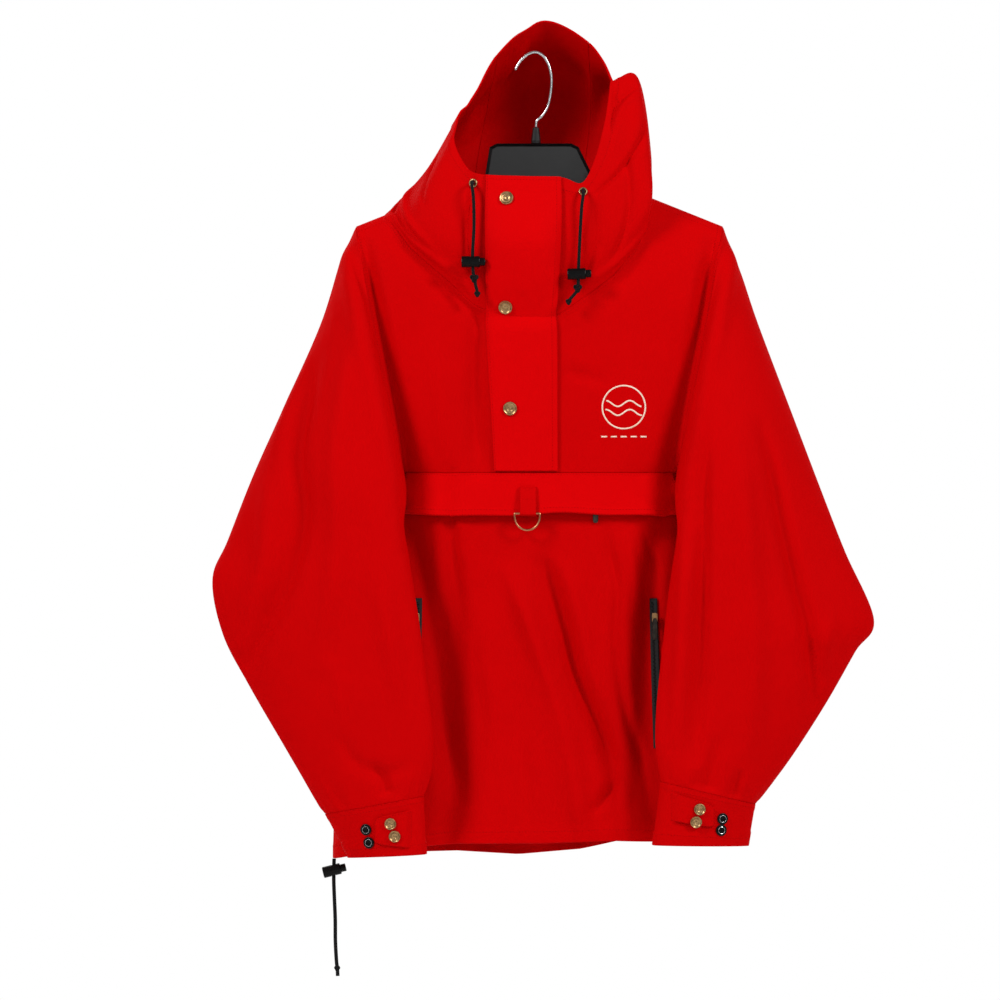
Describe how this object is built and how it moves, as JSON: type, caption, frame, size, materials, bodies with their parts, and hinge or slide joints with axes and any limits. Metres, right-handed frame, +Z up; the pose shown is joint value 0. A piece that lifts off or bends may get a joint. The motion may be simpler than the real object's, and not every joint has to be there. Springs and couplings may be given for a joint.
{
  "type": "hooded anorak pullover on a hanger",
  "caption": "Hooded half-placket pullover jacket hanging on a plastic hanger, with a chest flap, a D-ring, snap cuffs and cord locks.",
  "frame": {"origin": "inside top of the hanger's hook, where a rail holds it", "axes": "+Z up, -Y out of the garment's front, +X towards the wearer's left"},
  "size_m": [0.7417, 0.2254, 1.0737],
  "materials": {
    "shell_cloth": "matte woven nylon and cotton",
    "black_plastic": "satin moulded plastic",
    "black_cord": "braided cord",
    "antique_brass": "darkened, satin",
    "copper_brass": "darkened, satin",
    "bright_steel": "bright drawn wire"
  },
  "bodies": {
    "root": {"chest_right": "shell_cloth", "chest_left": "shell_cloth", "front_lower": "shell_cloth", "back": "shell_cloth", "sleeve_right": "shell_cloth", "sleeve_left": "shell_cloth", "cuff_right": "shell_cloth", "cuff_left": "shell_cloth", "cuff_tab_right": "shell_cloth", "cuff_tab_left": "shell_cloth", "hood_side_right": "shell_cloth", "hood_side_left": "shell_cloth", "hood_centre": "shell_cloth", "placket": "shell_cloth", "chest_flap": "shell_cloth", "ring_tab": "shell_cloth", "placket_snap_1": "antique_brass", "placket_snap_2": "antique_brass", "placket_snap_3": "antique_brass", "cuff_cap_right_1": "antique_brass", "cuff_cap_right_2": "antique_brass", "cuff_cap_left_1": "antique_brass", "cuff_cap_left_2": "antique_brass", "cuff_socket_right_1": "black_plastic", "cuff_socket_right_2": "black_plastic", "cuff_socket_left_1": "black_plastic", "cuff_socket_left_2": "black_plastic", "eyelet_right": "antique_brass", "eyelet_left": "antique_brass", "hood_cord_right": "black_cord", "hood_cord_left": "black_cord", "hem_cord": "black_cord", "lock_hood_right": "black_plastic", "lock_hood_left": "black_plastic", "lock_hem": "black_plastic", "pocket_zip_right": "black_cord", "pocket_zip_left": "black_cord", "slider_right": "antique_brass", "slider_left": "antique_brass", "slider_chest": "antique_brass", "hanger": "black_plastic", "hanger_neck": "black_plastic", "hanger_hook": "bright_steel"},
    "d_ring": {"d_ring": "copper_brass"},
    "pull_right": {"pull_right": "antique_brass"},
    "pull_left": {"pull_left": "antique_brass"},
    "pull_chest": {"pull_chest": "antique_brass"},
    "plunger_hood_right": {"plunger_hood_right": "black_plastic"},
    "plunger_hood_left": {"plunger_hood_left": "black_plastic"},
    "plunger_hem": {"plunger_hem": "black_plastic"}
  },
  "joints": [
    {"name": "d_ring_swing", "type": "hinge", "parent": "root", "child": "d_ring", "pos_m": [-0.011, -0.05599, -0.5168], "axis": [-1, 0, 0], "range_deg": [-15, 140]},
    {"name": "pull_right_swing", "type": "hinge", "parent": "root", "child": "pull_right", "pos_m": [-0.1344, -0.04186, -0.635], "axis": [-1, 0, 0], "range_deg": [0, 25]},
    {"name": "pull_left_swing", "type": "hinge", "parent": "root", "child": "pull_left", "pos_m": [0.1318, -0.04045, -0.635], "axis": [-1, 0, 0], "range_deg": [0, 120]},
    {"name": "pull_chest_swing", "type": "hinge", "parent": "root", "child": "pull_chest", "pos_m": [0.0654, -0.04485, -0.50735], "axis": [-1, 0, 0], "range_deg": [0, 12]},
    {"name": "plunger_hood_right_press", "type": "slide", "parent": "root", "child": "plunger_hood_right", "axis": [-1, 0, 0], "range_m": [0, 0.002], "stiffness_N_per_m": 800},
    {"name": "plunger_hood_left_press", "type": "slide", "parent": "root", "child": "plunger_hood_left", "axis": [-0.9994, 0, -0.0349], "range_m": [0, 0.002], "stiffness_N_per_m": 800},
    {"name": "plunger_hem_press", "type": "slide", "parent": "root", "child": "plunger_hem", "axis": [-0.9703, 0, -0.2419], "range_m": [0, 0.002], "stiffness_N_per_m": 800}
  ]
}
